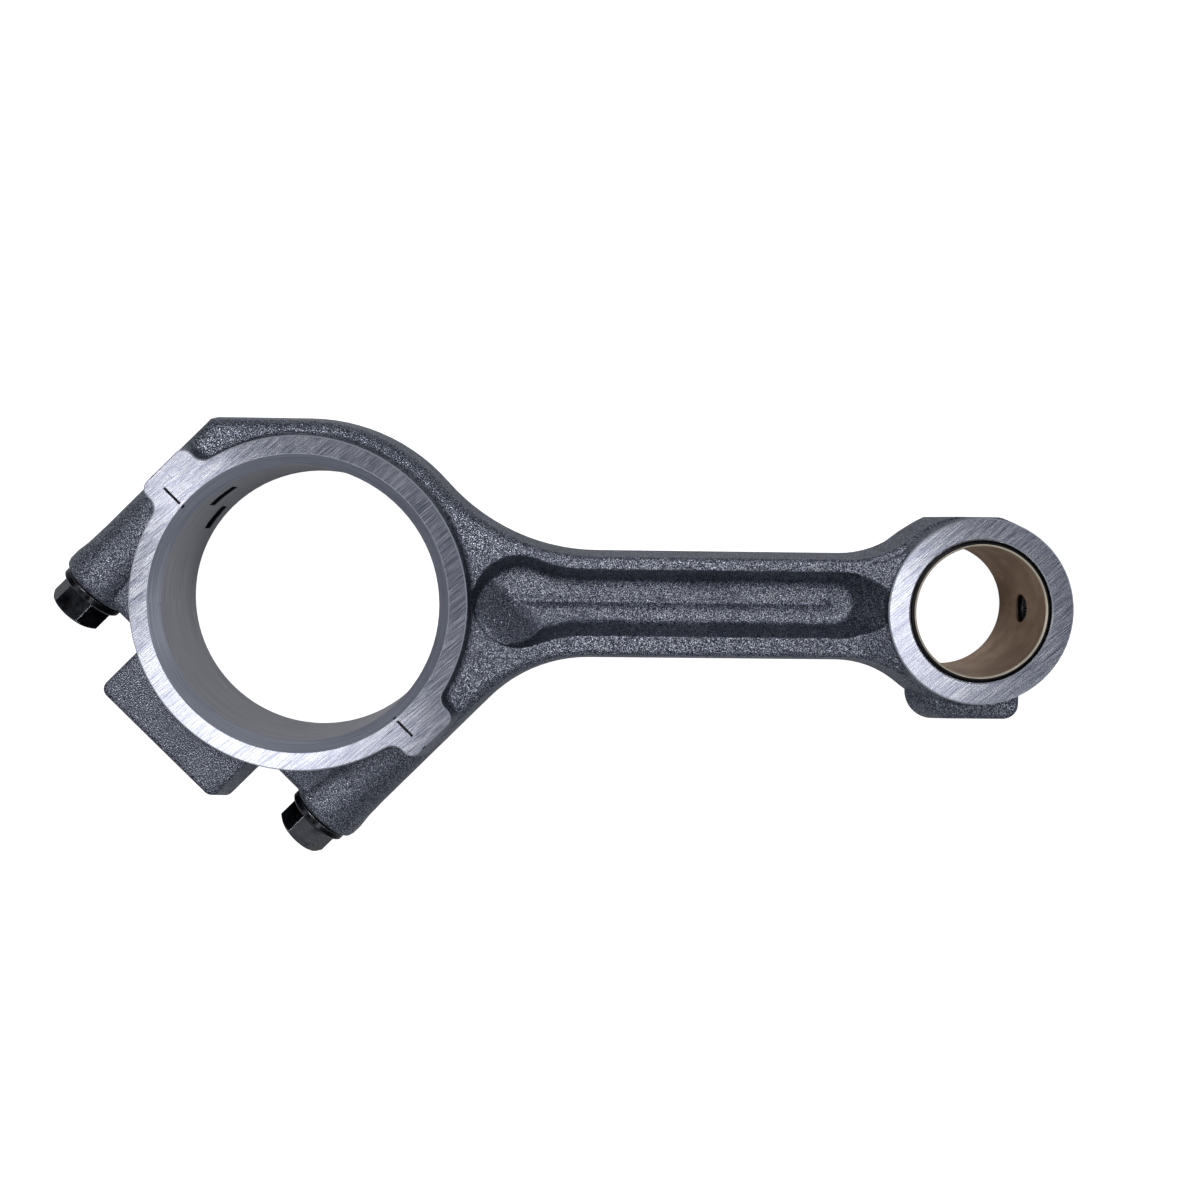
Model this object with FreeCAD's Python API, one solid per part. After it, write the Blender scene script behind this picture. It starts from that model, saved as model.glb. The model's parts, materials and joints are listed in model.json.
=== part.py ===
"""Connecting rod with a bearing cap split off at 45 degrees, two cap bolts and a bronze pin bushing.

Frame: origin at the centre of the big-end bore, +Z along both bores, +X to the small end.
Lengths are in millimetres. The joint frame is the same frame turned by -45 degrees about Z:
its X runs along the split face and its Y runs along the bolts, from the cap to the rod.
"""

import FreeCAD, Part
import math
import os

from FreeCAD import Vector

# Driving dimensions: both ends
CENTRES = 203.0  # big-end bore to pin bore
END_WIDTH = 40.0  # side face to side face
SPLIT_TURN = -45.0  # degrees, joint frame about Z

# Big end
BORE_R = 41.0
BORE_CHAMFER = 3.1
BIG_FACE_R = 49.5  # machined side face
BIG_RIM_R = 52.6  # forged rim at mid width
FACE_BREAK = 0.35  # edge break round the machined faces
PAD_REACH = 56.1  # joint pads, from the bore axis
PAD_HALF = 9.0  # joint pads, to either side of the split
JOINT_ROUND = 2.0  # corner between the shank's top and the big end's rim
WALL_SIDE = 60.0  # outer wall along the bolts, at mid width
MARK_OFFSET = 3.7  # match marks, from the split on the cap
MARK_LENGTH = 6.5
MARK_WIDTH = 0.8
MARK_DEPTH = 0.5
TANG_LENGTH = 9.0  # bearing tang slots, round the bore from the split
TANG_WIDTH = 6.0
TANG_DEPTH = 1.6
ROD_TANG_Z = 3.0  # lower end of the slot in the rod
CAP_TANG_Z = -11.0  # lower end of the slot in the cap

# Bolts
BOLT_SIDE = 49.0  # bolt axis to bore axis
BOLT_D = 11.0
BOLT_PITCH = 1.25
BOLT_LENGTH = 65.0  # under the flange
THREAD_LENGTH = 26.0
HEX_FLATS = 15.0
HEX_HEIGHT = 7.8
FLANGE_D = 20.0
FLANGE_HEIGHT = 2.7
THREAD_DEPTH = 0.6
LOWER_BOLT_TURN = 9.0  # degrees, hexagon of the lower bolt
BOLT_HOLE_D = 11.5  # through the cap
THREAD_HOLE_DEPTH = 22.5  # in the rod
THREAD_GAP = 0.05  # radial, bolt thread to rod
SEAT_DEPTH = 44.4  # bolt seat to split
SEAT_GAP = 0.02
BOSS_R = 11.0  # forged barrel round each bolt
BOSS_SEAT_R = 11.7  # where the barrel swells at the seat

# Forged shank and ends
SHOULDER_R = 56.2  # back of the big end on the rod side
SHANK_HALF = 16.8  # half width at mid thickness
SHANK_TOP = 14.0  # flange face above mid thickness
WALL_LEAN = 2.0  # how far the walls lean in, up to the flange face
POCKET_HALF = 10.1  # half width of the pocket at the flange face
POCKET_SHIFT = 1.1  # pocket's middle line, to the side away from the lower bolt
WEB_TOP = 3.6  # pocket floor above mid thickness
NECK_R = 31.0  # forging round the small end, at mid width

# Small end
SMALL_FACE_R = 28.0
SMALL_RIM_R = 29.6  # the rim's wall, carried down to mid width
SMALL_FLAT_Y = 28.4  # flat along the top
PIN_R = 19.6  # bore of the bushing
BUSHING_R = 21.4
BUSHING_HALF = 19.8
HOUSING_CHAMFER = 0.5
OIL_HOLE_D = 9.0
OIL_HOLE_REACH = 23.4  # from the pin's axis, where it narrows
OIL_FEED_D = 5.0

HALF = END_WIDTH / 2
FAR = 400.0  # larger than the whole rod
ORIGIN = Vector(0, 0, 0)
UP = Vector(0, 0, 1)
SMALL_END = Vector(CENTRES, 0, 0)


def polar(radius, degrees, centre=ORIGIN):
    """The point at this radius and angle round a centre."""
    turn = math.radians(degrees)
    return centre + Vector(radius * math.cos(turn), radius * math.sin(turn), 0)


def joint_point(along_split, along_bolt, height=0.0):
    """A point given in the joint frame, in the rod's frame."""
    point = polar(along_split, SPLIT_TURN) + polar(along_bolt, SPLIT_TURN + 90)
    return point + Vector(0, 0, height)


def to_rod_frame(shape):
    """A copy of a shape drawn in the joint frame, turned into the rod's frame."""
    turned = shape.copy()
    turned.rotate(ORIGIN, UP, SPLIT_TURN)
    return turned


def fused(shapes):
    """One solid from several that overlap."""
    return shapes[0].fuse(shapes[1:]).removeSplitter()


def both_halves(upper):
    """A solid and its mirror image below mid thickness, as one."""
    return fused([upper, upper.mirror(ORIGIN, UP)])


def box(x_range, y_range, z_range):
    """A box between three pairs of coordinates."""
    size = [high - low for low, high in (x_range, y_range, z_range)]
    return Part.makeBox(*size, Vector(x_range[0], y_range[0], z_range[0]))


def turned_solid(profile, centre, axis=UP):
    """A solid of revolution. Each profile point is (radius, distance along the axis)."""
    points = [Vector(radius, 0, along) for radius, along in profile]
    face = Part.Face(Part.makePolygon(points + points[:1]))
    solid = face.revolve(ORIGIN, UP, 360)
    solid.Placement = FreeCAD.Placement(centre, FreeCAD.Rotation(UP, axis))
    return solid


def arc(centre, radius, start, end):
    """An arc round a centre between two angles in degrees."""
    return Part.Arc(
        polar(radius, start, centre),
        polar(radius, (start + end) / 2, centre),
        polar(radius, end, centre),
    ).toShape()


def chain(edges):
    """A closed wire from edges in order, with straight edges where two don't meet."""
    joined = []
    for index, edge in enumerate(edges):
        start = edge.valueAt(edge.FirstParameter)
        before = edges[index - 1].valueAt(edges[index - 1].LastParameter)
        if (start - before).Length > 1e-6:
            joined.append(Part.makeLine(before, start))
        joined.append(edge)
    return Part.Wire(joined)


def rounded_box(x_range, y_range, height, corner):
    """A rectangle at one height with its four corners rounded."""
    (left, right), (low, high) = x_range, y_range
    centres = [
        Vector(right - corner, low + corner, height),
        Vector(right - corner, high - corner, height),
        Vector(left + corner, high - corner, height),
        Vector(left + corner, low + corner, height),
    ]
    return chain([arc(centre, corner, 90 * i - 90, 90 * i) for i, centre in enumerate(centres)])


def edges_at(shape, height, keep):
    """The edges that lie at one height and whose middle passes a test."""
    found = []
    for edge in shape.Edges:
        box_of = edge.BoundBox
        if max(abs(box_of.ZMin - height), abs(box_of.ZMax - height)) < 1e-4:
            middle = edge.valueAt((edge.FirstParameter + edge.LastParameter) / 2)
            if keep(middle):
                found.append(edge)
    return found


def rod_outline(lean, height):
    """The forged rod's outline at one height, moved in by lean from its widest line."""
    back_blend = 62.0  # shank to shoulder, on the side away from the bolts
    root_blend = 43.5  # shank to the lower bolt wall
    neck_blend = 30.0  # shank to small end
    tail = -12.0  # runs past the split, where it is cut
    lift = Vector(0, 0, height)

    back_y = SHANK_HALF + back_blend
    back_x = math.sqrt((SHOULDER_R + back_blend) ** 2 - back_y**2)
    back = Vector(back_x, back_y, height)
    back_angle = math.degrees(math.atan2(back_y, back_x))
    root_y = SHANK_HALF + root_blend
    root = Vector((WALL_SIDE + root_blend) * math.sqrt(2) - root_y, -root_y, height)
    neck_y = SHANK_HALF + neck_blend
    neck_x = math.sqrt((NECK_R + neck_blend) ** 2 - neck_y**2)
    neck_angle = math.degrees(math.atan2(neck_y, neck_x))
    neck_top = Vector(CENTRES - neck_x, neck_y, height)
    neck_low = Vector(CENTRES - neck_x, -neck_y, height)

    wall = WALL_SIDE - lean
    rise = SHOULDER_R - lean
    corner = Vector(rise - wall * math.sqrt(2), rise, height)
    return chain(
        [
            Part.makeLine(joint_point(-wall, tail, height), corner),
            arc(lift, rise, 90, back_angle),
            arc(back, back_blend + lean, back_angle + 180, 270),
            arc(neck_top, neck_blend + lean, 270, 360 - neck_angle),
            arc(SMALL_END + lift, NECK_R - lean, 180 - neck_angle, neck_angle - 180),
            arc(neck_low, neck_blend + lean, neck_angle, 90),
            arc(root, root_blend + lean, 90, 135),
            Part.makeLine(joint_point(wall, 0, height), joint_point(wall, tail, height)),
        ]
    )


def rounded(shape, edges, radius_at):
    """A solid with these edges rounded, each by a radius that runs evenly between its two ends."""
    document = FreeCAD.newDocument("rounding")
    base = document.addObject("Part::Feature", "base")
    base.Shape = shape
    fillet = document.addObject("Part::Fillet", "fillet")
    fillet.Base = base
    rows = []
    for number, edge in enumerate(shape.Edges, start=1):
        if any(edge.isSame(picked) for picked in edges):
            first, last = edge.valueAt(edge.FirstParameter), edge.valueAt(edge.LastParameter)
            rows.append((number, radius_at(first), radius_at(last)))
    fillet.Edges = rows
    document.recompute()
    result = fillet.Shape.copy()
    FreeCAD.closeDocument(document.Name)
    return result


def rod_shank():
    """The upper half of the forged shank and shoulders, with rounded top edges."""
    big_round = 5.0  # big end
    slim_round = 1.8  # shank and small end
    big_x, slim_x = 42.0, 86.0  # where the radius starts and stops changing
    behind_split = -14.0

    def radius_at(point):
        share = min(max((point.x - big_x) / (slim_x - big_x), 0), 1)
        return big_round + (slim_round - big_round) * share

    upper = Part.makeLoft([rod_outline(0, 0), rod_outline(WALL_LEAN, SHANK_TOP)], True, True)
    edges = edges_at(upper, SHANK_TOP, lambda middle: middle.x + middle.y > behind_split)
    return rounded(upper, edges, radius_at)


def hub(centre, face_r, rim_r):
    """The upper half of a round end, drafted down to mid width."""
    return Part.makeCone(rim_r, face_r, HALF, centre)


def big_end_rim():
    """The upper half of the big end's rim with the two pads that the split runs through."""
    neck_round = 4.0  # pads to rim
    top_corner, foot_corner = 3.0, 7.0
    foot_half = 13.0
    top = rounded_box((-PAD_REACH, PAD_REACH), (-PAD_HALF, PAD_HALF), HALF, top_corner)
    foot = rounded_box((-WALL_SIDE, WALL_SIDE), (-foot_half, foot_half), 0, foot_corner)
    rim = fused([hub(ORIGIN, BIG_FACE_R, BIG_RIM_R), Part.makeLoft([foot, top], True, True)])
    necks = [
        edge
        for edge in rim.Edges
        if edge.BoundBox.ZLength > HALF - 0.01
        and math.hypot(edge.CenterOfMass.x, edge.CenterOfMass.y) < BIG_RIM_R
    ]
    rim = rim.makeFillet(neck_round, necks)
    rim = rim.makeChamfer(FACE_BREAK, edges_at(rim, HALF, lambda middle: True))
    return to_rod_frame(rim)


def small_end_rim():
    """The upper half of the small end's rim."""
    rim = hub(SMALL_END, SMALL_FACE_R, SMALL_RIM_R)
    return rim.makeChamfer(FACE_BREAK, edges_at(rim, HALF, lambda middle: True))


def neck_ramp():
    """The slope that carries the shank's flanges up to the small end's rim."""
    foot_r, foot_z = 36.5, 13.6
    top_r, top_z = 28.2, 18.6
    ramp = Part.makeCone(foot_r, top_r, top_z - foot_z, SMALL_END + Vector(0, 0, foot_z))
    edge_strip = 1.8  # left flat along the shank's edge
    inside = Part.Face(rod_outline(WALL_LEAN + edge_strip, 0)).extrude(Vector(0, 0, HALF))
    return ramp.common(inside)


def rooted(body, rim, radius):
    """A rim standing on the shank's flat top, with a round in the corner between them."""

    def on_corner(middle):
        past_split = middle.x + middle.y > 0
        return past_split and rim.distToShape(Part.Vertex(middle))[0] < 0.01

    joined = fused([body, rim])
    return joined.makeFillet(radius, edges_at(joined, SHANK_TOP, on_corner))


def balance_pad():
    """The upper half of the weighing pad on the back of the cap."""
    height = 15.0
    corner = 3.0
    edge_round = 1.8
    inner_y = -30.0  # inside the rim
    foot = rounded_box((-25.5, 25.0), (-63.5, inner_y), 0, corner)
    top = rounded_box((-24.0, 22.5), (-61.2, inner_y), height, corner)
    pad = Part.makeLoft([foot, top], True, True)
    return to_rod_frame(pad.makeFillet(edge_round, edges_at(pad, height, lambda middle: True)))


def small_end_lug():
    """The upper half of the weighing lug under the small end."""
    height = 11.0
    edge_round = 1.8
    inner_y = -10.0  # inside the rim
    foot = rounded_box((186.0, 221.5), (-35.2, inner_y), 0, 9.0)
    top = rounded_box((193.0, 218.5), (-33.6, inner_y), height, 4.0)
    lug = Part.makeLoft([foot, top], True, True)
    return lug.makeFillet(edge_round, edges_at(lug, height, lambda middle: middle.y < inner_y - 2))


def small_end_flat():
    """The cutter for the flat along the top of the small end."""
    return box((CENTRES - NECK_R, FAR), (SMALL_FLAT_Y, FAR), (-FAR, FAR))


def bolt_boss(side):
    """The forged barrel round one bolt on the cap, swelling towards the bolt seat."""
    swell = BOSS_SEAT_R - BOSS_R
    profile = [
        (0, 0),
        (BOSS_SEAT_R - 1.6, 0),
        (BOSS_SEAT_R - 0.4, 0.8),
        (BOSS_SEAT_R, 2.2),
        (BOSS_SEAT_R, 5.0),
        (BOSS_R + swell * 0.3, 9.0),
        (BOSS_R, 16.0),
        (BOSS_R, SEAT_DEPTH),
        (0, SEAT_DEPTH),
    ]
    return turned_solid(profile, Vector(side * BOLT_SIDE, -SEAT_DEPTH, 0), Vector(0, 1, 0))


def cap_web(side):
    """The metal that fills the valley between a bolt barrel and the rim of the cap."""
    inner_x = 20.0
    half_height = 8.5
    below_seat = 1.2
    edge_round = 3.0
    width = BOLT_SIDE - inner_x
    web = box((inner_x, BOLT_SIDE), (below_seat - SEAT_DEPTH, 0), (-half_height, half_height))
    web = web.makeFillet(edge_round, [edge for edge in web.Edges if abs(edge.Length - width) < 0.1])
    return web if side > 0 else web.mirror(ORIGIN, Vector(1, 0, 0))


def split_half(side):
    """The half space on the rod side (+1) or the cap side (-1) of the split."""
    low, high = (0, FAR) if side > 0 else (-FAR, 0)
    return to_rod_frame(box((-FAR, FAR), (low, high), (-FAR, FAR)))


def bore_cutter(radius, chamfer, centre):
    """The cutter for a bore through the rod, with a 45-degree chamfer at each side face."""
    beyond = 1.0
    outer = radius + chamfer + beyond
    profile = [
        (0, -HALF - beyond),
        (outer, -HALF - beyond),
        (radius, chamfer - HALF),
        (radius, HALF - chamfer),
        (outer, HALF + beyond),
        (0, HALF + beyond),
    ]
    return turned_solid(profile, centre)


def pocket_outline(inset, height):
    """The pocket's outline at one height, moved in by inset: a bulb, a blend and a straight run."""
    bulb = 14.0
    blend = 40.0
    bulb_x = 64.5
    end_x = 163.5 - 0.7 * inset  # the end wall leans more than the side walls
    run = POCKET_HALF
    blend_x = bulb_x + math.sqrt((bulb + blend) ** 2 - (run + blend) ** 2)
    angle = math.degrees(math.asin((run + blend) / (bulb + blend)))
    bulb_centre = Vector(bulb_x, 0, height)
    return chain(
        [
            arc(bulb_centre, bulb - inset, angle, 360 - angle),
            arc(Vector(blend_x, -run - blend, height), blend + inset, 180 - angle, 90),
            arc(Vector(end_x, 0, height), run - inset, -90, 90),
            arc(Vector(blend_x, run + blend, height), blend + inset, 270, 180 + angle),
        ]
    )


def shank_pocket():
    """The cutter for the pocket in the upper side of the shank. It stops at the walls of both rims."""
    wall_slope = 0.36
    floor_round = 3.2
    depth = SHANK_TOP - WEB_TOP
    above = 5.0  # over the top of the neck ramp
    floor = pocket_outline(depth * wall_slope, WEB_TOP)
    mouth = pocket_outline(-above * wall_slope, SHANK_TOP + above)
    cutter = Part.makeLoft([floor, mouth], True, True)
    cutter = cutter.makeFillet(floor_round, edges_at(cutter, WEB_TOP, lambda middle: True))
    cutter.translate(Vector(0, POCKET_SHIFT, 0))
    rims = [hub(ORIGIN, BIG_FACE_R, BIG_RIM_R), hub(SMALL_END, SMALL_FACE_R, SMALL_RIM_R)]
    return cutter.cut(rims)


def floor_ridge():
    """The ridge along the middle of the pocket's floor, upper side, between two hollow flanks."""
    foot_half = 3.5
    crest_half = 0.35
    crest = 1.0
    sunk = 0.1  # start of the flanks, below the floor
    root = -1.0
    start, end = 60.5, 159.0
    rise = crest + sunk
    reach = foot_half - crest_half
    flank_r = (reach**2 + rise**2) / (2 * rise)
    lean = math.degrees(math.asin(reach / flank_r))
    middle = Part.makeLine(Vector(0, root, 0), Vector(0, crest, 0))
    flank = arc(Vector(foot_half, flank_r - sunk, 0), flank_r, 270 - lean, 270)
    base = Part.makeLine(Vector(foot_half, root, 0), Vector(0, root, 0))
    half = Part.Face(chain([middle, flank, base]))
    half.rotate(ORIGIN, Vector(1, 0, 0), 90)
    tip = half.revolve(ORIGIN, UP, 360)
    half.rotate(ORIGIN, UP, 90)
    side = half.extrude(Vector(end - start, 0, 0))
    other_side = side.mirror(ORIGIN, Vector(0, 1, 0))
    other_tip = tip.translated(Vector(end - start, 0, 0))
    ridge = fused([tip, side, other_side, other_tip])
    return ridge.translated(Vector(start, POCKET_SHIFT, WEB_TOP))


def pocket_slope():
    """The slope that fills the lower left of the pocket's bulb, upper side, from its floor to its mouth."""
    corner_r = 9.0
    tilt = 38.0  # degrees
    foot = 49.5  # along the bolts, where the slope leaves the floor
    back = 28.0  # inside the shoulder
    side, length = 33.0, 25.0  # along the split
    below = 0.1  # both ends run just below the faces that they meet
    low, high = WEB_TOP - below, SHANK_TOP - below
    run = (high - low) / math.tan(math.radians(tilt)) + 2 * corner_r * math.tan(math.radians(tilt / 2))
    base = Part.makeLine(Vector(foot, 0, 0), Vector(back, 0, 0))
    wall = Part.makeLine(Vector(back, 0, 0), Vector(back, high, 0))
    crest = arc(Vector(foot - run, high - corner_r, 0), corner_r, 90, 90 - tilt)
    root = arc(Vector(foot, low + corner_r, 0), corner_r, 270 - tilt, 270)
    face = Part.Face(chain([base, wall, crest, root]))
    face.rotate(ORIGIN, Vector(1, 0, 0), 90)
    face.rotate(ORIGIN, UP, 90)
    return to_rod_frame(face.extrude(Vector(length, 0, 0)).translated(Vector(side, 0, 0)))


def bolt_hole(side, radius, low, high):
    """The cutter for one bolt hole between two distances from the split, in the rod's frame."""
    hole = Part.makeCylinder(radius, high - low, Vector(side * BOLT_SIDE, low, 0), Vector(0, 1, 0))
    return to_rod_frame(hole)


def tang_slot(side, low_z):
    """The cutter for a bearing tang slot, on the rod side (+1) or the cap side (-1) of the split."""
    cutter_r = 12.0  # round milling cutter
    reach = BORE_R + TANG_DEPTH
    middle = side * TANG_LENGTH / 2
    start = Vector(-(reach - cutter_r), middle, low_z)
    disc = Part.makeCylinder(cutter_r, TANG_WIDTH, start)
    low, high = (0, TANG_LENGTH) if side > 0 else (-TANG_LENGTH, 0)
    return to_rod_frame(disc.common(box((-FAR, 0), (low, high), (-FAR, FAR))))


def match_mark(side):
    """The cutter for one match mark stamped across a cap pad."""
    middle = side * 48.0
    along = (middle - MARK_LENGTH / 2, middle + MARK_LENGTH / 2)
    across = (-MARK_OFFSET - MARK_WIDTH / 2, -MARK_OFFSET + MARK_WIDTH / 2)
    return to_rod_frame(box(along, across, (HALF - MARK_DEPTH, HALF + 1)))


def oil_hole(diameter, reach):
    """The cutter for the oil hole in the far side of the small end, out from the pin's axis."""
    return Part.makeCylinder(diameter / 2, reach, SMALL_END, Vector(1, 0, 0))


def rod_body():
    """The rod: shank, small end and the rod's half of the big end."""
    upper = rooted(rod_shank(), big_end_rim(), JOINT_ROUND)
    upper = fused([upper, small_end_rim(), neck_ramp(), small_end_lug()])
    upper = upper.cut([shank_pocket(), small_end_flat()])
    upper = fused([upper, floor_ridge(), pocket_slope()])
    rod = both_halves(upper).common(split_half(1))
    cutters = [bore_cutter(BORE_R, BORE_CHAMFER, ORIGIN)]
    cutters.append(bore_cutter(BUSHING_R, HOUSING_CHAMFER, SMALL_END))
    cutters += [bolt_hole(side, BOLT_D / 2 + THREAD_GAP, -1, THREAD_HOLE_DEPTH) for side in (-1, 1)]
    cutters += [tang_slot(1, ROD_TANG_Z), oil_hole(OIL_HOLE_D, OIL_HOLE_REACH), oil_hole(OIL_FEED_D, FAR)]
    return rod.cut(cutters)


def bearing_cap():
    """The cap: the other half of the big end, with its bolt barrels and weighing pad."""
    cap = both_halves(fused([big_end_rim(), balance_pad()]))
    cap = fused([cap] + [to_rod_frame(bolt_boss(side).fuse(cap_web(side))) for side in (-1, 1)])
    cap = cap.common(split_half(-1))
    cutters = [bore_cutter(BORE_R, BORE_CHAMFER, ORIGIN), tang_slot(-1, CAP_TANG_Z)]
    cutters += [match_mark(side) for side in (-1, 1)]
    cutters += [bolt_hole(side, BOLT_HOLE_D / 2, -SEAT_DEPTH - 1, 1) for side in (-1, 1)]
    return cap.cut(cutters)


def thread_rings():
    """The profile points of the bolt's thread, as rings from its runout to its tip."""
    crest = BOLT_D / 2
    root = crest - THREAD_DEPTH
    crest_half = 0.1
    runout = 0.5
    tip = 1.2
    points = []
    for turn in range(int((THREAD_LENGTH - tip - runout) / BOLT_PITCH)):
        start = BOLT_LENGTH - THREAD_LENGTH + runout + turn * BOLT_PITCH
        middle = start + BOLT_PITCH / 2
        points += [(root, start), (crest, middle - crest_half), (crest, middle + crest_half)]
    return points + [(root, BOLT_LENGTH - tip), (root - 1, BOLT_LENGTH), (0, BOLT_LENGTH)]


def bolt_stem():
    """The bolt's stem and flange, along Z from the seat up, with a ringed thread."""
    neck_r = BOLT_D / 2 - 0.25
    core_r = HEX_FLATS / 2 - 0.2  # inside the hexagon
    flange_r = FLANGE_D / 2
    edge = 0.5
    profile = [
        (0, -FLANGE_HEIGHT - HEX_HEIGHT / 2),
        (core_r, -FLANGE_HEIGHT - HEX_HEIGHT / 2),
        (core_r, -FLANGE_HEIGHT),
        (flange_r - edge, -FLANGE_HEIGHT),
        (flange_r, edge - FLANGE_HEIGHT),
        (flange_r, -edge),
        (flange_r - edge, 0),
        (neck_r, 0),
        (neck_r, BOLT_LENGTH - THREAD_LENGTH),
    ]
    return turned_solid(profile + thread_rings(), ORIGIN)


def bolt_head():
    """The hexagon below the flange, with its outer corners turned off."""
    corner_r = HEX_FLATS / math.sqrt(3)
    crown_r = HEX_FLATS / 2
    top = -FLANGE_HEIGHT - HEX_HEIGHT
    inside_flange = -0.5
    corners = [polar(corner_r, 60 * i) for i in range(7)]
    hexagon = Part.Face(Part.makePolygon(corners)).extrude(Vector(0, 0, top - inside_flange))
    hexagon.translate(Vector(0, 0, inside_flange))
    crown = [
        (0, top),
        (crown_r - 0.6, top),
        (crown_r, top + 0.35),
        (corner_r + 0.1, top + 1.1),
        (corner_r + 0.1, 0),
        (0, 0),
    ]
    return hexagon.common(turned_solid(crown, ORIGIN))


def cap_bolt(side, turn):
    """One cap bolt in its place, with its hexagon turned by an angle in degrees."""
    bolt = fused([bolt_stem(), bolt_head()])
    bolt.rotate(ORIGIN, UP, turn)
    seat = Vector(side * BOLT_SIDE, -SEAT_DEPTH - SEAT_GAP, 0)
    place = FreeCAD.Placement(seat, FreeCAD.Rotation(UP, Vector(0, 1, 0)))
    bolt.Placement = place.multiply(bolt.Placement)
    return to_rod_frame(bolt)


def pin_bushing():
    """The bronze bushing, with its edges chamfered and the oil hole through its wall."""
    outer_chamfer = 1.0
    inner_chamfer = 0.35
    profile = [
        (PIN_R, inner_chamfer - BUSHING_HALF),
        (PIN_R + inner_chamfer, -BUSHING_HALF),
        (BUSHING_R - outer_chamfer, -BUSHING_HALF),
        (BUSHING_R, outer_chamfer - BUSHING_HALF),
        (BUSHING_R, BUSHING_HALF - outer_chamfer),
        (BUSHING_R - outer_chamfer, BUSHING_HALF),
        (PIN_R + inner_chamfer, BUSHING_HALF),
        (PIN_R, BUSHING_HALF - inner_chamfer),
    ]
    return turned_solid(profile, SMALL_END).cut(oil_hole(OIL_HOLE_D, OIL_HOLE_REACH))


if __name__ == "__main__":
    os.makedirs("parts", exist_ok=True)
    parts = {
        "rod_body": rod_body(),
        "bearing_cap": bearing_cap(),
        "cap_bolt_upper": cap_bolt(-1, 0),
        "cap_bolt_lower": cap_bolt(1, LOWER_BOLT_TURN),
        "pin_bushing": pin_bushing(),
    }
    for name, shape in parts.items():
        counts = f"{len(shape.Solids)} solid, {len(shape.Shells)} shell"
        print(name, counts, "valid", shape.isValid(), "volume", round(shape.Volume))
        shape.exportStep(f"parts/{name}.step")
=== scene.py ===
"""The looks of a forged connecting rod with an angled bearing cap: materials, a pale studio and a camera.

Lengths inside the materials are in millimetres, measured on each piece. All other lengths are in metres.
"""

import json
import math

import bpy
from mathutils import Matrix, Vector


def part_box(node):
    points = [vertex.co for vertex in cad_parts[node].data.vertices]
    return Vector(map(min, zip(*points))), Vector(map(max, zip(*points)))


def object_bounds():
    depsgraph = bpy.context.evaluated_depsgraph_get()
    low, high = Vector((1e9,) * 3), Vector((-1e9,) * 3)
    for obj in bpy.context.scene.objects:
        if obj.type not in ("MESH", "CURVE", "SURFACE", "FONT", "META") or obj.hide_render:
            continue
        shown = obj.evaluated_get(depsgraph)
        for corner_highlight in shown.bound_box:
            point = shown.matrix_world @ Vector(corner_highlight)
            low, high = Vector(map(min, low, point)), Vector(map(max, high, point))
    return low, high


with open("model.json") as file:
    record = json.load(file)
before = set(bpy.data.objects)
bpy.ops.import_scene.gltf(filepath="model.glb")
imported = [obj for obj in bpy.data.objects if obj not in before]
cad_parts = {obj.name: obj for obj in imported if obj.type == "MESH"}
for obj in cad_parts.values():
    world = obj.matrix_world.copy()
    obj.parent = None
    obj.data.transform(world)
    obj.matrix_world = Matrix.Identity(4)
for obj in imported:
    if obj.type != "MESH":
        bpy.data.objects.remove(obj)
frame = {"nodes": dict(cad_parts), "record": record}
cad_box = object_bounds()
nodes = frame["nodes"]

# Sizes read from the frame, in millimetres
MM = 1000.0
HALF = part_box("bearing_cap")[1].z * MM  # from mid width to a ground side face
MOUNTS = {mount["name"]: mount for mount in frame["record"]["mounts"]}
BORE_R = MOUNTS["big_end_bore"]["dims"]["r_mm"]
PIN_R = MOUNTS["pin_bore"]["dims"]["r_mm"]
CENTRES = MOUNTS["pin_bore"]["pos_m"][0] * MM  # from one bore to the other
FLOOR_Z = cad_box[0][2]

# Where the finishes of the steel and the bushing end, and where painted shade and painted highlights lie,
# in millimetres
GROUND_DEPTH = 0.36  # the ground finish reaches this far down from a side face
CHAMFER = 3.1  # the turned chamfers of the big-end bore
SLOT_DROP = 0.3  # the painted shade of a tang slot starts this far inside the chamfer
MARK_OFFSET = 3.7  # match marks, from the split; their grooves carry painted shade
MARK_HALF_WIDTH = 0.50
MARK_DEPTH = 0.52
BUSHING_DROP = 0.52  # the painted highlight on the bushing's chamfer starts this far from a side face
BUSHING_RIM = 0.6  # the bushing's wall inside its outer edge, where shade is painted

# Edges that are rounded in the shading, and relief, in millimetres
FORGED_EDGE = 0.9
BOLT_EDGE = 0.5
SHOT_DENTS = 0.24
TOOL_LINES = 0.016
BOLT_DENTS = 0.02
BUSHING_LINES = 0.015
SCRATCH_TURN = math.radians(40.0)  # scratches on the ground faces, from the rod's length

# Colours
DULL_PATCH = (0.10, 0.11, 0.14)
GROUND_PATCH = (0.36, 0.37, 0.44)
GROUND_EDGE_HIGHLIGHT = (0.92, 0.94, 1.00)
SPLIT_FACE = (0.32, 0.33, 0.36)
RECESS_PAINTED_SHADE = (0.030, 0.030, 0.034)
NO_CORNER_HIGHLIGHT = (0.0, 0.0, 0.0)
PAINTED_CORNER_HIGHLIGHT = (0.55, 0.56, 0.60)
BRONZE_DARK = (0.56, 0.42, 0.31)
BRONZE_LIGHT = (0.72, 0.56, 0.43)
BRONZE_CHAMFER_HIGHLIGHT = (0.95, 0.86, 0.70)
BRONZE_RIM_SHADE = (0.05, 0.045, 0.045)

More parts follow.
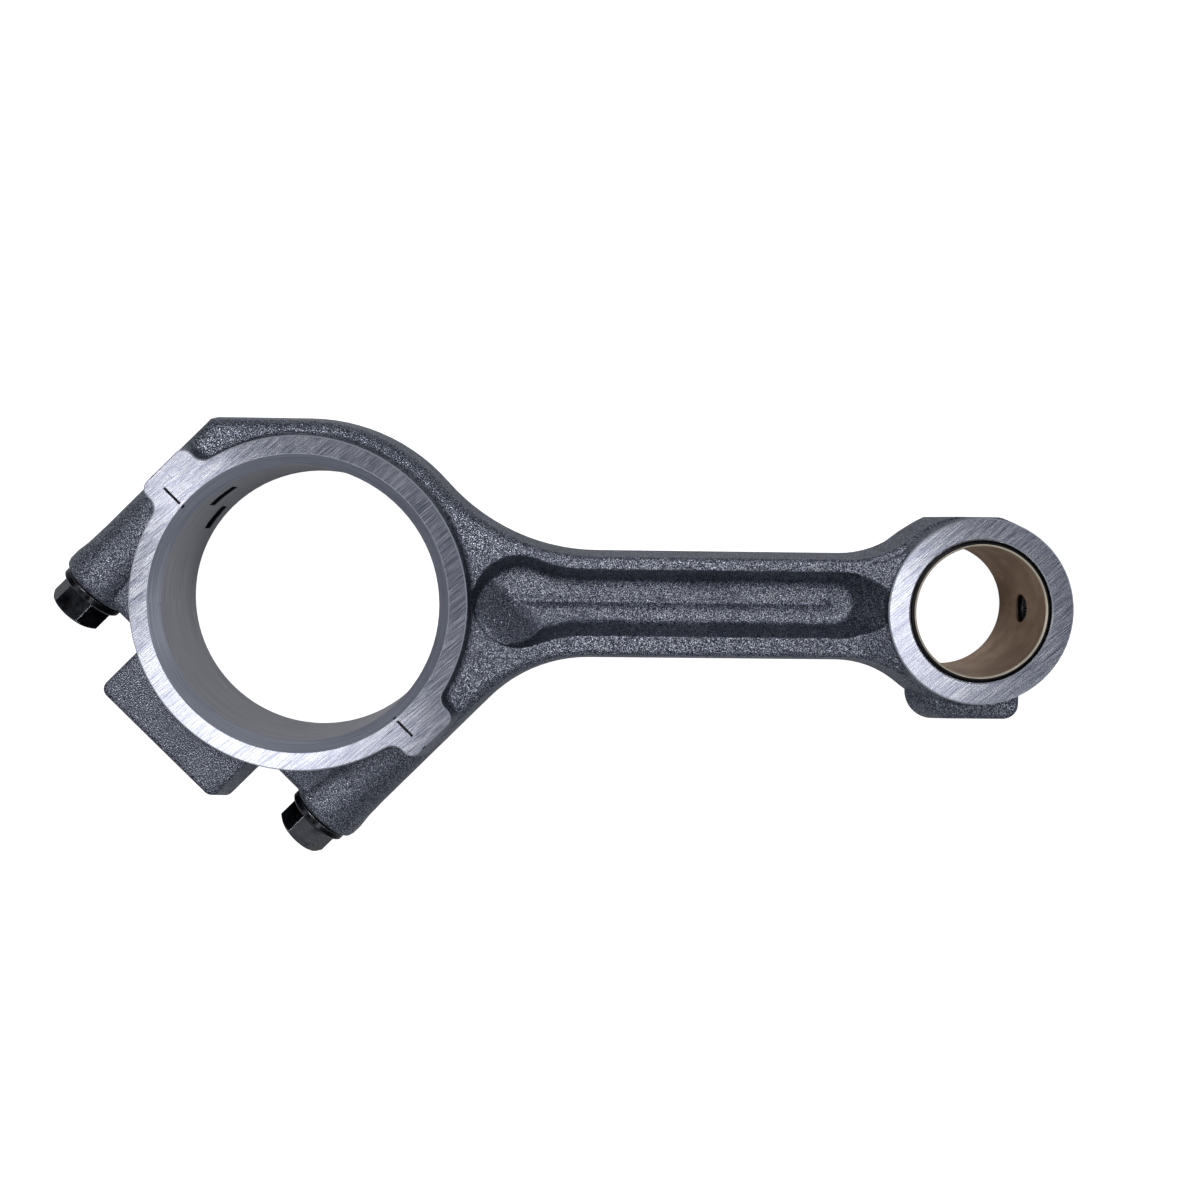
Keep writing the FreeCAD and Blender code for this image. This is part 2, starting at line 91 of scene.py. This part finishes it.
# The floor, and the room: its strength is 0.17 straight above, and 0.24 where a ray rises less than 0.70
FLOOR_SIZE = 6.0
FLOOR_MIDDLE = 0.1
FLOOR_GAP = 0.00005
FLOOR_COLOUR = (0.55, 0.56, 0.58, 1)
FLOOR_GLOW = 0.95
ROOM_COLOUR = (0.86, 0.91, 1.0, 1)
ROOM_STEPS = {"From Min": 0.94, "From Max": 0.70, "To Min": 0.17, "To Max": 0.24}

# Lamps as (place, side, radiance). The camera sees the first three mirrored in the lower left of the two
# ground rings and in the upper pad. The others light the sides, most strongly from behind.
MIDDLE = Vector((0.08, 0, 0))
LAMPS = {
    "big_end": ((-0.262, -0.165, 1.0), 0.23, 2.2),
    "upper_pad": ((-0.350, 0.072, 1.0), 0.10, 2.6),
    "small_end": ((0.440, -0.070, 1.0), 0.15, 2.3),
    "behind": ((0.08, 0.62, 1.05), 0.36, 12.0),
    "front": ((0.08, -0.66, 1.05), 0.26, 6.0),
    "left": ((-0.85, 0.10, 0.85), 0.40, 2.4),
    "right": ((1.00, 0.10, 0.80), 0.36, 2.0),
}

# The camera, nearly straight above the rod
LENS = 36.12
CAMERA_PLACE = (0.0782, 0.0224, 0.3758)
CAMERA_TURN = (-3.246, -1.676, 0.684)  # degrees, as one turn about this axis


class Graph:
    """Short calls for the nodes of one material."""

    def __init__(self, name):
        self.material = bpy.data.materials.new(name)
        self.material.use_nodes = True
        self.tree = self.material.node_tree
        self.tree.nodes.clear()
        self.shader = self.add("ShaderNodeBsdfPrincipled")
        output = self.add("ShaderNodeOutputMaterial")
        self.tree.links.new(self.shader.outputs[0], output.inputs["Surface"])

    def add(self, kind, **settings):
        """A node with its settings."""
        node = self.tree.nodes.new(kind)
        for key, value in settings.items():
            setattr(node, key, value)
        return node

    def feed(self, socket, value):
        """Sets a socket to a number or colour, or links it to another socket."""
        if isinstance(value, bpy.types.NodeSocket):
            self.tree.links.new(value, socket)
        else:
            socket.default_value = value

    def math(self, operation, *values):
        """A sum, product or other operation on numbers."""
        node = self.add("ShaderNodeMath", operation=operation)
        for socket, value in zip(node.inputs, values):
            self.feed(socket, value)
        return node.outputs[0]

    def weighted(self, *terms):
        """A sum of numbers, each times its weight."""
        total = 0.0
        for value, weight in terms:
            total = self.math("MULTIPLY_ADD", value, weight, total)
        return total

    def point(self):
        """The place on the piece in millimetres, and its three coordinates."""
        scale = self.add("ShaderNodeVectorMath", operation="SCALE")
        self.feed(scale.inputs[0], self.add("ShaderNodeTexCoord").outputs["Object"])
        scale.inputs["Scale"].default_value = MM
        apart = self.add("ShaderNodeSeparateXYZ")
        self.feed(apart.inputs[0], scale.outputs[0])
        return scale.outputs[0], apart.outputs[0], apart.outputs[1], apart.outputs[2]

    def together(self, x, y, z):
        """A vector from three numbers."""
        node = self.add("ShaderNodeCombineXYZ")
        for socket, value in zip(node.inputs, (x, y, z)):
            self.feed(socket, value)
        return node.outputs[0]

    def noise(self, vector, scale, detail=2.0, roughness=0.5):
        """Smooth noise between 0 and 1. Scale is features per unit of the vector."""
        node = self.add("ShaderNodeTexNoise")
        self.feed(node.inputs["Vector"], vector)
        node.inputs["Scale"].default_value = scale
        node.inputs["Detail"].default_value = detail
        node.inputs["Roughness"].default_value = roughness
        return node.outputs["Fac"]

    def streaks(self, along, across, scales, layer=0.0, detail=2.0, roughness=0.5):
        """Noise with its own scale along and across a direction. Layer picks another cut of it."""
        along = self.math("MULTIPLY", along, scales[0])
        across = self.math("MULTIPLY", across, scales[1])
        return self.noise(self.together(along, across, layer), 1.0, detail, roughness)

    def span(self, value, low, high, to_low=0.0, to_high=1.0):
        """A smooth step from one value to another as a number goes from low to high."""
        node = self.add("ShaderNodeMapRange", interpolation_type="SMOOTHSTEP")
        for name, number in (("Value", value), ("From Min", low), ("From Max", high)):
            self.feed(node.inputs[name], number)
        node.inputs["To Min"].default_value = to_low
        node.inputs["To Max"].default_value = to_high
        return node.outputs[0]

    def above(self, value, limit, soft):
        """A mask of the numbers over a limit, which fades out over a soft width below it."""
        return self.span(value, limit - soft, limit)

    def below(self, value, limit, soft):
        """A mask of the numbers under a limit, which fades out over a soft width above it."""
        return self.span(value, limit + soft, limit)

    def every(self, *masks):
        """The mask where all of these masks meet."""
        share = masks[0]
        for mask in masks[1:]:
            share = self.math("MULTIPLY", share, mask)
        return share

    def ramp(self, value, stops):
        """A colour ramp. Each stop is (place, colour)."""
        node = self.add("ShaderNodeValToRGB")
        elements = node.color_ramp.elements
        while len(elements) < len(stops):
            elements.new(0.5)
        for element, (place, colour) in zip(elements, stops):
            element.position = place
            element.color = (*colour, 1.0)
        self.feed(node.inputs[0], value)
        return node.outputs[0]

    def mix(self, share, first, second):
        """A colour between two."""
        node = self.add("ShaderNodeMix", data_type="RGBA")
        self.feed(node.inputs[0], share)
        for socket, value in zip(node.inputs[6:8], (first, second)):
            self.feed(socket, value if isinstance(value, bpy.types.NodeSocket) else (*value, 1.0))
        return node.outputs[2]

    def blend(self, share, first, second):
        """A number between two."""
        node = self.add("ShaderNodeMix", data_type="FLOAT")
        for socket, value in zip((node.inputs[0], node.inputs[2], node.inputs[3]), (share, first, second)):
            self.feed(socket, value)
        return node.outputs[0]

    def lighter(self, first, second):
        """The sum of two colours."""
        node = self.add("ShaderNodeMix", data_type="RGBA", blend_type="ADD")
        node.inputs[0].default_value = 1.0
        self.feed(node.inputs[6], first)
        self.feed(node.inputs[7], second)
        return node.outputs[2]

    def bump(self, height, depth_mm, normal=None):
        """A bumped normal. The height runs from 0 to 1 over this depth."""
        node = self.add("ShaderNodeBump")
        node.inputs["Distance"].default_value = depth_mm / MM
        self.feed(node.inputs["Height"], height)
        if normal is not None:
            self.feed(node.inputs["Normal"], normal)
        return node.outputs[0]

    def soft_edges(self, radius_m):
        """A normal that rounds the edges by a radius in metres."""
        node = self.add("ShaderNodeBevel", samples=6)
        self.feed(node.inputs["Radius"], radius_m)
        return node.outputs[0]

    def edge_share(self, rounded, low, high):
        """A mask of the edges: where the rounded normal leaves the flat one."""
        along = self.add("ShaderNodeVectorMath", operation="DOT_PRODUCT")
        self.feed(along.inputs[0], rounded)
        self.feed(along.inputs[1], self.add("ShaderNodeNewGeometry").outputs["True Normal"])
        return self.span(along.outputs["Value"], low, high)

    def finish(self, colour, roughness, normal):
        """Wires the shader of a metal."""
        for name, value in (("Base Color", colour), ("Roughness", roughness), ("Normal", normal)):
            self.feed(self.shader.inputs[name], value)
        self.shader.inputs["Metallic"].default_value = 1.0
        return self.material


def radius_from(g, x, y, centre_x):
    """The distance from an axis along Z."""
    across = g.math("SUBTRACT", x, centre_x)
    return g.math("SQRT", g.weighted((across, across), (y, y)))


def turned_lines(g, x, y, z, centre_x, fineness):
    """Fine lines round an axis along Z."""
    angle = g.math("ARCTAN2", y, g.math("SUBTRACT", x, centre_x))
    depth = g.math("ADD", z, radius_from(g, x, y, centre_x))
    return g.streaks(angle, depth, (1.5, fineness), detail=3.0)


def forged_skin(g, place, patches):
    """A dark blue-grey scale that shot has dented all over. Gives its colour, roughness and height."""
    grain = g.noise(place, 3.4, 0.0)
    coarse = g.noise(place, 0.75, 3.0, 0.6)
    colour = g.ramp(
        grain,
        [
            (0.30, (0.034, 0.037, 0.050)),
            (0.48, (0.084, 0.091, 0.120)),
            (0.60, (0.260, 0.277, 0.338)),
            (0.70, (0.680, 0.710, 0.790)),
        ],
    )
    colour = g.mix(g.span(patches, 0.40, 0.62, 0.0, 0.30), colour, DULL_PATCH)
    roughness = g.span(coarse, 0.3, 0.7, 0.26, 0.40)
    return colour, roughness, g.weighted((grain, 0.80), (coarse, 0.55))


def ground_steel(g, x, y, height, patches):
    """Long diagonal scratches and a painted highlight on the chamfered edges. Gives the colour, the
    roughness and the scratches.
    """
    cosine, sine = math.cos(SCRATCH_TURN), math.sin(SCRATCH_TURN)
    along = g.weighted((x, cosine), (y, sine))
    across = g.weighted((y, cosine), (x, -sine))
    fine = g.streaks(along, across, (0.10, 3.4), detail=4.0, roughness=0.75)
    broad = g.streaks(along, across, (0.04, 0.55), layer=3.0)
    colour = g.ramp(
        g.weighted((fine, 0.85), (broad, 0.15)),
        [(0.35, (0.20, 0.21, 0.30)), (0.47, (0.50, 0.52, 0.64)), (0.58, (0.93, 0.94, 1.00))],
    )
    colour = g.mix(g.span(patches, 0.42, 0.60, 0.0, 0.22), colour, GROUND_PATCH)
    # Painted highlight: the chamfer band at the edge of each ground face is coloured near white
    colour = g.mix(g.below(height, HALF - 0.05, 0.03), colour, GROUND_EDGE_HIGHLIGHT)
    return colour, g.span(fine, 0.3, 0.7, 0.13, 0.22), fine


def bored_steel(g, x, y, z, bore_radius):
    """The bored wall and its brighter turned chamfers. Gives the colour and the lines."""
    lines = turned_lines(g, x, y, z, 0.0, 2.2)
    wall = g.ramp(lines, [(0.3, (0.40, 0.40, 0.42)), (0.7, (0.58, 0.58, 0.61))])
    chamfer = g.ramp(lines, [(0.3, (0.40, 0.42, 0.50)), (0.7, (0.66, 0.68, 0.76))])
    return g.mix(g.above(bore_radius, BORE_R + 0.10, 0.08), wall, chamfer), lines


def steel():
    """Shot-blasted forging with ground side faces, turned chamfers, bored walls, and painted shade in the
    tang slots and match marks.
    """
    g = Graph("forged_steel")
    place, x, y, z = g.point()
    height = g.math("ABSOLUTE", z)
    bore_radius = radius_from(g, x, y, 0.0)
    split = g.weighted((x, math.sqrt(0.5)), (y, math.sqrt(0.5)))
    patches = g.noise(place, 0.045, 3.0, 0.6)

    # Where each finish lies, and where shade is painted into the tang slots and match marks
    on_face = g.above(height, HALF - GROUND_DEPTH, 0.06)
    in_bore = g.below(bore_radius, BORE_R + CHAMFER, 0.2)
    on_split = g.below(g.math("ABSOLUTE", split), 0.01, 0.02)
    machined = g.math("MAXIMUM", on_face, in_bore)
    forged = g.math("SUBTRACT", 1.0, machined)
    in_slot = g.every(
        g.above(bore_radius, BORE_R + 0.2, 0.1),
        g.below(height, HALF - CHAMFER - SLOT_DROP, 0.1),
        in_bore,
    )
    from_mark = g.math("ABSOLUTE", g.math("ADD", split, MARK_OFFSET))
    in_mark = g.every(
        g.below(from_mark, MARK_HALF_WIDTH, 0.10),
        g.below(height, HALF - 0.02, 0.015),
        g.above(height, HALF - MARK_DEPTH, 0.03),
    )

    skin, skin_rough, skin_height = forged_skin(g, place, patches)
    ground, ground_rough, scratches = ground_steel(g, x, y, height, patches)
    bored, bore_lines = bored_steel(g, x, y, z, bore_radius)

    colour = g.mix(on_face, skin, ground)
    colour = g.mix(in_bore, colour, bored)
    colour = g.mix(on_split, colour, SPLIT_FACE)
    # Painted shade: the tang slots and the grooves of the match marks are coloured nearly black
    colour = g.mix(g.math("MAXIMUM", in_slot, in_mark), colour, RECESS_PAINTED_SHADE)
    roughness = g.blend(on_face, skin_rough, ground_rough)
    roughness = g.blend(in_bore, roughness, 0.40)
    normal = g.soft_edges(g.math("MULTIPLY", forged, FORGED_EDGE / MM))
    normal = g.bump(g.math("MULTIPLY", skin_height, forged), SHOT_DENTS, normal)
    lines = g.math("MULTIPLY", g.blend(in_bore, scratches, bore_lines), machined)
    return g.finish(colour, roughness, g.bump(lines, TOOL_LINES, normal))


def black_bolt():
    """Black oxide, oiled, with a painted highlight on the corners."""
    g = Graph("bolt_steel")
    place = g.point()[0]
    blotch = g.noise(place, 0.35, 3.0, 0.6)
    fine = g.noise(place, 3.0, 2.0)
    rounded = g.soft_edges(BOLT_EDGE / MM)
    # Painted highlight: the corners and edges of the bolts are coloured lighter
    corner_highlight = g.mix(g.edge_share(rounded, 0.97, 0.86), NO_CORNER_HIGHLIGHT, PAINTED_CORNER_HIGHLIGHT)
    oxide = g.ramp(blotch, [(0.35, (0.008, 0.008, 0.010)), (0.65, (0.030, 0.031, 0.036))])
    roughness = g.span(blotch, 0.3, 0.7, 0.16, 0.28)
    return g.finish(g.lighter(oxide, corner_highlight), roughness, g.bump(fine, BOLT_DENTS, rounded))


def bronze():
    """Bored bearing bronze with fine turned lines, a painted highlight on the inner edge and painted shade
    on the outer one.
    """
    g = Graph("bronze")
    place, x, y, z = g.point()
    lines = turned_lines(g, x, y, z, CENTRES, 2.6)
    stain = g.noise(place, 0.12, 3.0, 0.6)
    radius = radius_from(g, x, y, CENTRES)
    at_end = g.above(g.math("ABSOLUTE", z), HALF - BUSHING_DROP, 0.04)
    colour = g.mix(g.span(stain, 0.35, 0.65), BRONZE_DARK, BRONZE_LIGHT)
    # Painted highlight: the bushing's chamfer at each side face is coloured bright
    colour = g.mix(at_end, colour, BRONZE_CHAMFER_HIGHLIGHT)
    # Painted shade: the bushing's outer edge, next to the steel, is coloured nearly black
    colour = g.mix(g.above(radius, PIN_R + BUSHING_RIM, 0.15), colour, BRONZE_RIM_SHADE)
    return g.finish(colour, g.span(lines, 0.3, 0.7, 0.34, 0.46), g.bump(lines, BUSHING_LINES))


def paint(node, material):
    """Gives a CAD piece its material."""
    slots = nodes[node].data.materials
    slots.clear()
    slots.append(material)


def floor():
    """A pale floor that looks white to the camera and stays dim in the rod's reflections."""
    bpy.ops.mesh.primitive_plane_add(size=FLOOR_SIZE, location=(FLOOR_MIDDLE, 0, FLOOR_Z - FLOOR_GAP))
    plane = bpy.context.object
    plane.name = "floor"
    g = Graph("floor")
    g.shader.inputs["Base Color"].default_value = FLOOR_COLOUR
    g.shader.inputs["Roughness"].default_value = 0.7
    g.shader.inputs["Emission Color"].default_value = (1, 1, 1, 1)
    seen = g.add("ShaderNodeLightPath").outputs["Is Camera Ray"]
    g.feed(g.shader.inputs["Emission Strength"], g.math("MULTIPLY", seen, FLOOR_GLOW))
    plane.data.materials.append(g.material)


def room():
    """Bluish light from all sides, dimmest straight above."""
    world = bpy.data.worlds.new("room")
    bpy.context.scene.world = world
    world.use_nodes = True
    tree = world.node_tree
    background = tree.nodes["Background"]
    background.inputs["Color"].default_value = ROOM_COLOUR
    direction = tree.nodes.new("ShaderNodeTexCoord")
    upward = tree.nodes.new("ShaderNodeSeparateXYZ")
    strength = tree.nodes.new("ShaderNodeMapRange")
    strength.interpolation_type = "SMOOTHSTEP"
    for name, number in ROOM_STEPS.items():
        strength.inputs[name].default_value = number
    tree.links.new(direction.outputs["Generated"], upward.inputs[0])
    tree.links.new(upward.outputs["Z"], strength.inputs["Value"])
    tree.links.new(strength.outputs[0], background.inputs["Strength"])


def soft_light(name, place, size, radiance):
    """A square soft light aimed at the middle of the rod."""
    data = bpy.data.lights.new(name, "AREA")
    data.size = size
    data.energy = radiance * math.pi * size**2
    light = bpy.data.objects.new(name, data)
    bpy.context.scene.collection.objects.link(light)
    light.location = place
    light.rotation_euler = (MIDDLE - Vector(place)).to_track_quat("-Z", "Y").to_euler()


def camera():
    """The camera at the photo's viewing angle."""
    data = bpy.data.cameras.new("camera")
    data.sensor_width = 36.0
    data.lens = LENS
    data.clip_start = 0.01
    body = bpy.data.objects.new("camera", data)
    body.location = CAMERA_PLACE
    turn = Vector([math.radians(part) for part in CAMERA_TURN])
    body.rotation_mode = "AXIS_ANGLE"
    body.rotation_axis_angle = (turn.length, *turn.normalized())
    bpy.context.scene.collection.objects.link(body)
    bpy.context.scene.camera = body


STEEL = steel()
BLACK = black_bolt()
for name in ("rod_body", "bearing_cap"):
    paint(name, STEEL)
for name in ("cap_bolt_upper", "cap_bolt_lower"):
    paint(name, BLACK)
paint("pin_bushing", bronze())

floor()
room()
for name, (place, size, radiance) in LAMPS.items():
    soft_light(name, place, size, radiance)
camera()
bpy.context.scene.view_settings.view_transform = "Standard"
